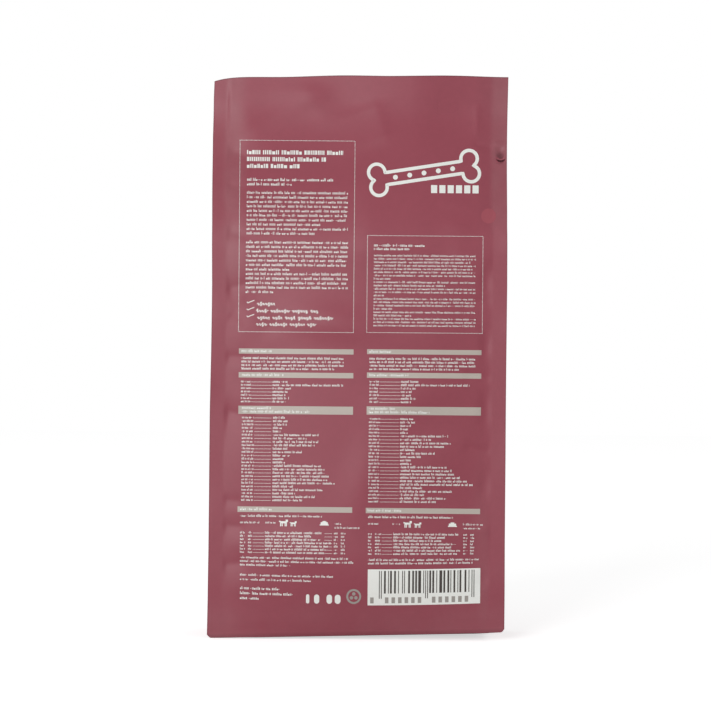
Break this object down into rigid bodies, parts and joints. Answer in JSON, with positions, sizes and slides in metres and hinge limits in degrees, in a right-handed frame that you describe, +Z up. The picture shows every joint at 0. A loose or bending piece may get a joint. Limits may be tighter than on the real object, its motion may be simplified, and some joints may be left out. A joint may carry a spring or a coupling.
{
  "type": "pet food bag",
  "caption": "Filled, sealed film bag standing on a flat base, with corner seals, side gussets that fold in towards a flat top seal, and a tear notch.",
  "frame": {"origin": "centre of the bag's bounding box in plan, on the plane that the base stands on", "axes": "+Z up from the base to the top seal; -Y faces the viewer of the label panel; +X to that viewer's right"},
  "size_m": [0.198, 0.084, 0.3774],
  "materials": {
    "film": "matte burgundy laminated film with a soft sheen",
    "ink": "flat white, grey and dark print on the film"
  },
  "bodies": {
    "root": {"bag": "film"}
  },
  "joints": []
}
